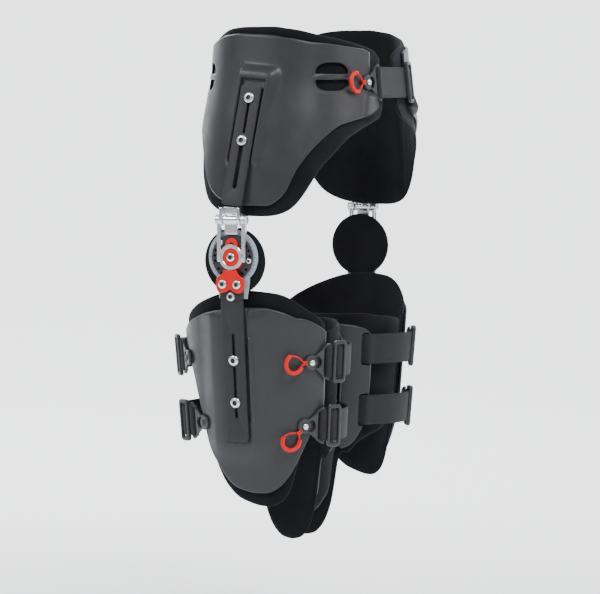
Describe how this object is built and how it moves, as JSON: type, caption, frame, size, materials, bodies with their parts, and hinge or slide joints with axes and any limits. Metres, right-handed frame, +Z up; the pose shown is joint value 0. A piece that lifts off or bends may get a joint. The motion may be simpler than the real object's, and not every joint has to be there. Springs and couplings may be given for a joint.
{
  "type": "bilateral hip brace",
  "caption": "Hip brace with two lined waist shells, lateral hinges with dial stops and abduction clevis, slotted bars and strapped thigh cuffs on both sides.",
  "frame": {"origin": "middle of the waist, level with the closing strap, where a wearer's waist holds the girdle", "axes": "+Z up, -Y the front of the wearer, +X the wearer's left"},
  "size_m": [0.392, 0.2444, 0.6464],
  "materials": {
    "shell": "satin moulded plastic, fine grain",
    "liner": "short black velour over foam",
    "bar": "matte powder coat, anthracite",
    "zinc": "bright zinc plate",
    "stop_disc": "red anodised ring on a dark disc",
    "dial": "pale grey coated plate with tick marks",
    "red": "red moulded plastic, semi gloss",
    "buckle": "dark grey moulded nylon",
    "webbing": "woven webbing, charcoal"
  },
  "bodies": {
    "root": {"left_girdle_shell": "shell", "left_girdle_liner": "liner", "left_girdle_bar": "bar", "left_clevis_bracket": "zinc", "right_girdle_shell": "shell", "right_girdle_liner": "liner", "right_girdle_bar": "bar", "right_clevis_bracket": "zinc", "waist_bracket": "buckle", "waist_buckle": "buckle", "waist_strap": "webbing", "back_strap": "webbing", "waist_pull_ring": "red"},
    "left_link": {"left_hinge_stirrup": "zinc", "left_stop_disc": "stop_disc", "left_pivot_screw": "red"},
    "left_thigh": {"left_dial_plate": "dial", "left_hinge_pad": "liner", "left_hinge_cover": "red", "left_thigh_bar": "bar", "left_thigh_shell": "shell", "left_thigh_liner": "liner", "left_inner_shell": "shell", "left_inner_liner": "liner", "left_upper_front_bracket": "buckle", "left_upper_front_buckle": "buckle", "left_upper_rear_bracket": "buckle", "left_upper_rear_buckle": "buckle", "left_upper_strap": "webbing", "left_upper_pull_ring": "red", "left_lower_front_bracket": "buckle", "left_lower_front_buckle": "buckle", "left_lower_rear_bracket": "buckle", "left_lower_rear_buckle": "buckle", "left_lower_strap": "webbing", "left_lower_pull_ring": "red"},
    "right_link": {"right_hinge_stirrup": "zinc", "right_stop_disc": "stop_disc", "right_pivot_screw": "red"},
    "right_thigh": {"right_dial_plate": "dial", "right_hinge_pad": "liner", "right_hinge_cover": "red", "right_thigh_bar": "bar", "right_thigh_shell": "shell", "right_thigh_liner": "liner", "right_inner_shell": "shell", "right_inner_liner": "liner", "right_upper_front_bracket": "buckle", "right_upper_front_buckle": "buckle", "right_upper_rear_bracket": "buckle", "right_upper_rear_buckle": "buckle", "right_upper_strap": "webbing", "right_upper_pull_ring": "red", "right_lower_front_bracket": "buckle", "right_lower_front_buckle": "buckle", "right_lower_rear_bracket": "buckle", "right_lower_rear_buckle": "buckle", "right_lower_strap": "webbing", "right_lower_pull_ring": "red"}
  },
  "joints": [
    {"name": "left_abduction", "type": "hinge", "parent": "root", "child": "left_link", "pos_m": [0.1888, 0.016, -0.167], "axis": [0, -1, 0], "range_deg": [0, 30]},
    {"name": "left_flexion", "type": "hinge", "parent": "left_link", "child": "left_thigh", "pos_m": [0.19, 0.016, -0.212], "axis": [-1, 0, 0], "range_deg": [-15, 90]},
    {"name": "right_abduction", "type": "hinge", "parent": "root", "child": "right_link", "pos_m": [-0.1888, 0.016, -0.167], "axis": [0, 1, 0], "range_deg": [0, 30]},
    {"name": "right_flexion", "type": "hinge", "parent": "right_link", "child": "right_thigh", "pos_m": [-0.19, 0.016, -0.212], "axis": [-1, 0, 0], "range_deg": [-15, 90]}
  ]
}
